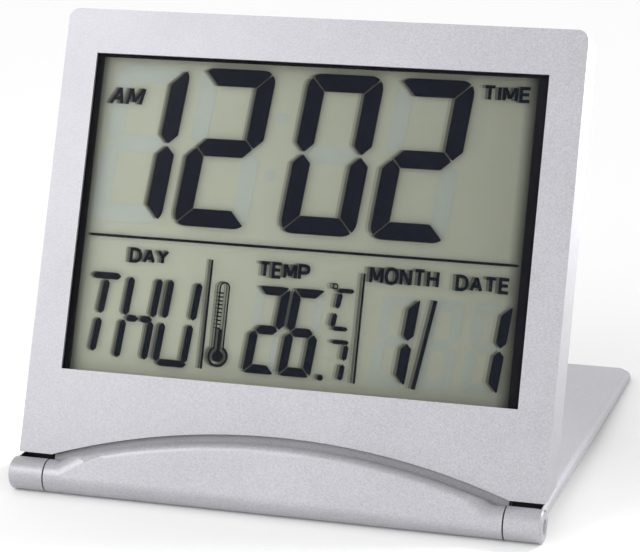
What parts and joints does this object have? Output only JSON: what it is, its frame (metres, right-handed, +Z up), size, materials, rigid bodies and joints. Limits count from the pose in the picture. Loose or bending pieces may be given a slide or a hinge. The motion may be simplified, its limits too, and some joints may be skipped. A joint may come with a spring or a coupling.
{
  "type": "folding travel alarm clock",
  "caption": "Folding travel alarm clock: a slim silver case with a large digital display, hinged to a flat cover that stands it up and closes over its face.",
  "frame": {"origin": "on the table under the middle of the clock's outline, clock open on its stand", "axes": "+X along the hinge to the right as seen from the front, +Y to the rear, +Z up"},
  "size_m": [0.1088, 0.0992, 0.0906],
  "materials": {
    "silver_paint": "satin metallic silver paint on ABS",
    "lens": "clear polished acrylic",
    "black_ink": "matt black print",
    "display_glass": "polished",
    "reflector": "satin grey-green film",
    "white_plastic": "moulded",
    "elastomer": "silicone",
    "board": "solder mask over glass fibre",
    "resin": "cast epoxy",
    "component": "ceramic",
    "key": "satin",
    "dark_rubber": "matt",
    "brass": "rolled",
    "ceramic": "silvered ceramic",
    "wire": "insulated",
    "steel": "nickel plated"
  },
  "bodies": {
    "case": {"front_bezel": "silver_paint", "back_cover": "silver_paint", "display_lens": "lens", "display_mask": "black_ink", "front_polariser": "display_glass", "front_glass": "display_glass", "rear_glass": "display_glass", "reflector": "reflector", "display_bracket": "white_plastic", "elastomer_strip": "elastomer", "circuit_board": "board", "chip_blob": "resin", "quartz_crystal": "steel", "thermistor": "resin", "small_components": "component", "keypad_sheet": "dark_rubber", "buzzer_plate": "brass", "buzzer_ceramic": "ceramic", "buzzer_wires": "wire", "coin_cell": "steel", "positive_contact": "steel", "negative_contact": "steel", "case_screws": "steel", "board_screws": "steel"},
    "cover": {"flip_cover": "silver_paint", "cover_bumpers": "dark_rubber", "hinge_pins": "steel"},
    "door": {"battery_door": "silver_paint"},
    "mode_push": {"mode_key": "key", "mode_plunger": "dark_rubber"},
    "set_push": {"set_key": "key", "set_plunger": "dark_rubber"},
    "up_push": {"up_key": "key", "up_plunger": "dark_rubber"},
    "down_push": {"down_key": "key", "down_plunger": "dark_rubber"},
    "snooze_push": {"snooze_key": "key", "snooze_plunger": "dark_rubber"}
  },
  "joints": [
    {"name": "cover_hinge", "type": "hinge", "parent": "case", "child": "cover", "pos_m": [0, -0.04637, 0.00325], "axis": [-1, 0, 0], "range_deg": [0, 291.8]},
    {"name": "battery_door_turn", "type": "hinge", "parent": "case", "child": "door", "pos_m": [0.024, -0.01985, 0.03554], "axis": [0, 0.9166, -0.3998], "range_deg": [0, 45]},
    {"name": "mode_press", "type": "slide", "parent": "case", "child": "mode_push", "axis": [0, -0.9166, 0.3998], "range_m": [0, 0.0007], "stiffness_N_per_m": 1500, "springref_m": -0.0003},
    {"name": "set_press", "type": "slide", "parent": "case", "child": "set_push", "axis": [0, -0.9166, 0.3998], "range_m": [0, 0.0007], "stiffness_N_per_m": 1500, "springref_m": -0.0003},
    {"name": "up_press", "type": "slide", "parent": "case", "child": "up_push", "axis": [0, -0.9166, 0.3998], "range_m": [0, 0.0007], "stiffness_N_per_m": 1500, "springref_m": -0.0003},
    {"name": "down_press", "type": "slide", "parent": "case", "child": "down_push", "axis": [0, -0.9166, 0.3998], "range_m": [0, 0.0007], "stiffness_N_per_m": 1500, "springref_m": -0.0003},
    {"name": "snooze_press", "type": "slide", "parent": "case", "child": "snooze_push", "axis": [0, -0.9166, 0.3998], "range_m": [0, 0.0007], "stiffness_N_per_m": 1500, "springref_m": -0.0003}
  ]
}
